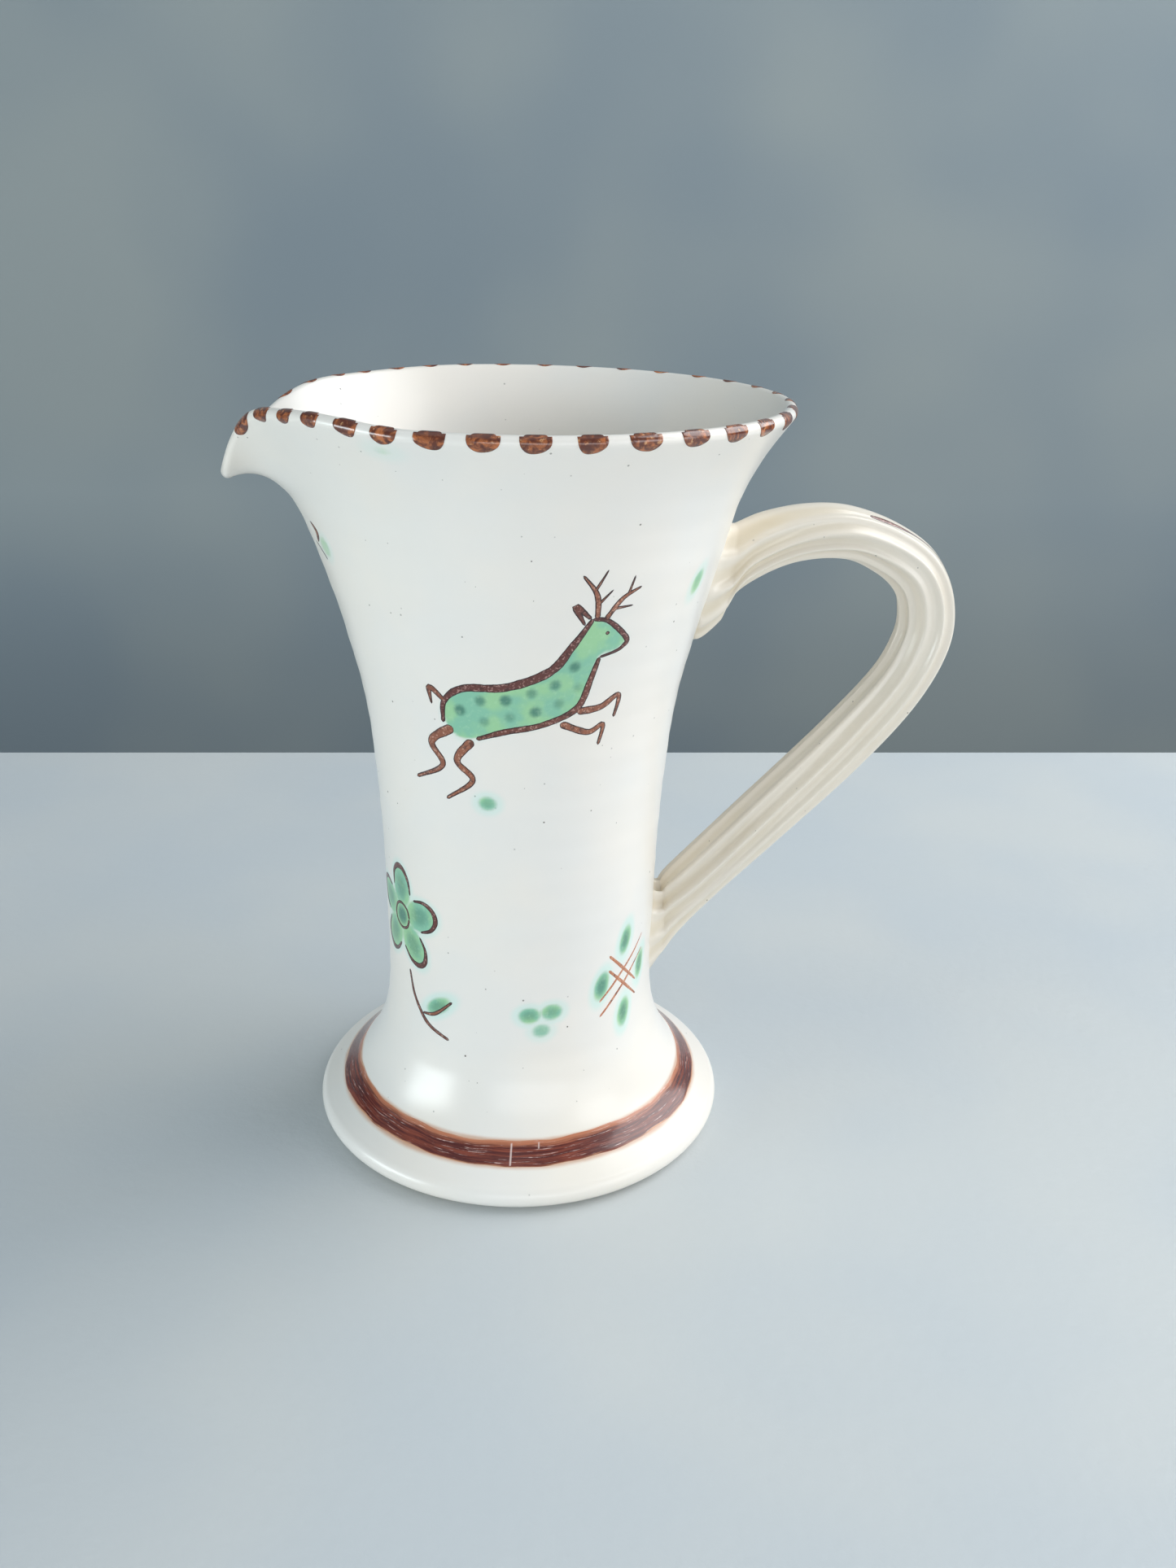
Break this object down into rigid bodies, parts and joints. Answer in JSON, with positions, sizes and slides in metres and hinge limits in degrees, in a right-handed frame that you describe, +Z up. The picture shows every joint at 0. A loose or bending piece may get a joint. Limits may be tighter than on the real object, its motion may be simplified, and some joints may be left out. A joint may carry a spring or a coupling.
{
  "type": "ceramic pitcher",
  "caption": "Glazed ceramic pitcher with a trumpet body on a flared foot, a drooping pulled spout, a fluted strap handle and painted slip decoration.",
  "frame": {"origin": "centre of the foot on the resting plane", "axes": "+Z up along the thrown body's axis, +X towards the handle, the spout towards -X, +Y by the right-hand rule"},
  "size_m": [0.1895, 0.1334, 0.202],
  "materials": {
    "glazed_body": "satin cream glaze with fine iron specks",
    "glazed_handle": "satin cream glaze, thinner and warmer over the ridges",
    "brown_slip": "glossy mottled brown slip"
  },
  "bodies": {
    "root": {"base_floor": "glazed_body", "foot": "glazed_body", "body_wall": "glazed_body", "spout": "glazed_body", "handle": "glazed_handle", "handle_upper_joint": "glazed_handle", "handle_lower_joint": "glazed_handle", "rim_dabs": "brown_slip", "foot_band": "brown_slip"}
  },
  "joints": []
}
